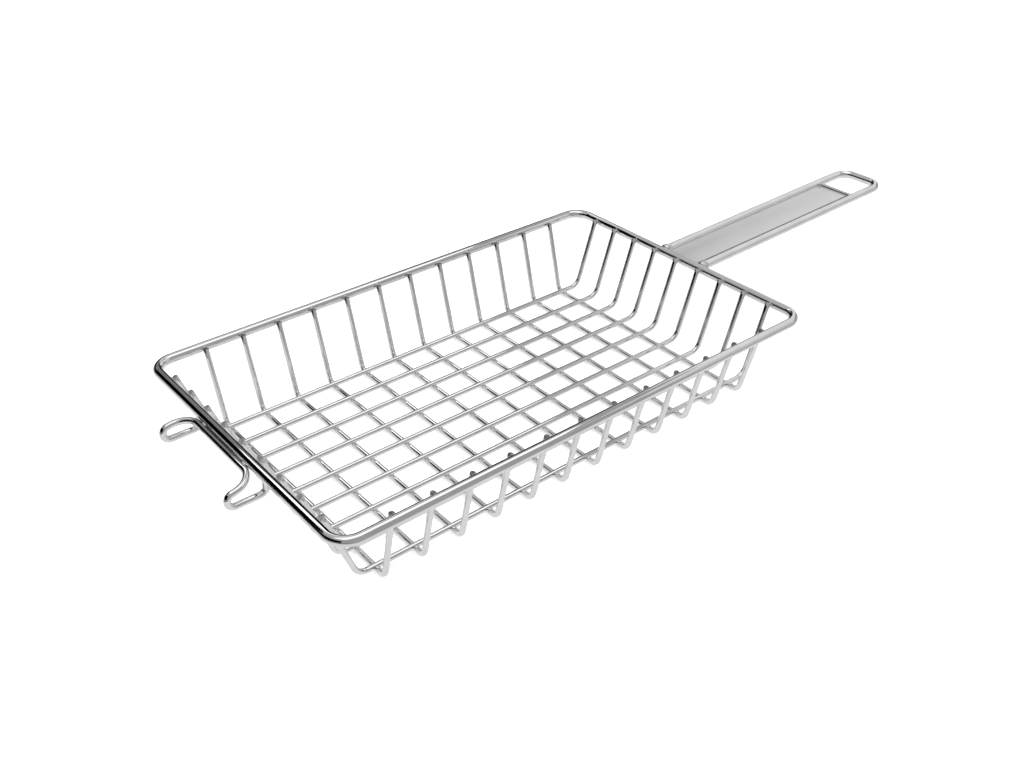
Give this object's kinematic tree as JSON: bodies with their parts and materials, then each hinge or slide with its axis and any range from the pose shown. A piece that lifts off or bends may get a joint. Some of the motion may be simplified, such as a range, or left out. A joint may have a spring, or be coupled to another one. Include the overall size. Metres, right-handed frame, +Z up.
{
  "type": "grill basket",
  "caption": "Shallow welded wire grill basket with a rod rim, a long hairpin handle with a satin plate, and a double hook at the front.",
  "frame": {"origin": "middle of the basket, half way between the ends and the sides of its rim, on the plane that it stands on", "axes": "+X points to the handle, +Y across the basket, +Z up"},
  "size_m": [0.5611, 0.212, 0.0576],
  "materials": {
    "rod_steel": "polished stainless rod",
    "mesh_steel": "polished stainless wire",
    "satin_steel": "satin sheet, brushed along its length",
    "weld_steel": "polished weld beads"
  },
  "bodies": {
    "root": {"rim": "rod_steel", "long_wire_1": "mesh_steel", "long_wire_2": "mesh_steel", "long_wire_3": "mesh_steel", "long_wire_4": "mesh_steel", "long_wire_5": "mesh_steel", "long_wire_6": "mesh_steel", "long_wire_7": "mesh_steel", "long_wire_8": "mesh_steel", "long_wire_9": "mesh_steel", "cross_wire_1": "mesh_steel", "cross_wire_2": "mesh_steel", "cross_wire_3": "mesh_steel", "cross_wire_4": "mesh_steel", "cross_wire_5": "mesh_steel", "cross_wire_6": "mesh_steel", "cross_wire_7": "mesh_steel", "cross_wire_8": "mesh_steel", "cross_wire_9": "mesh_steel", "cross_wire_10": "mesh_steel", "cross_wire_11": "mesh_steel", "cross_wire_12": "mesh_steel", "handle_rod": "rod_steel", "handle_plate": "satin_steel", "handle_crossbar": "mesh_steel", "front_hook": "mesh_steel", "handle_welds": "weld_steel", "crossbar_welds": "weld_steel", "hook_welds": "weld_steel"}
  },
  "joints": []
}
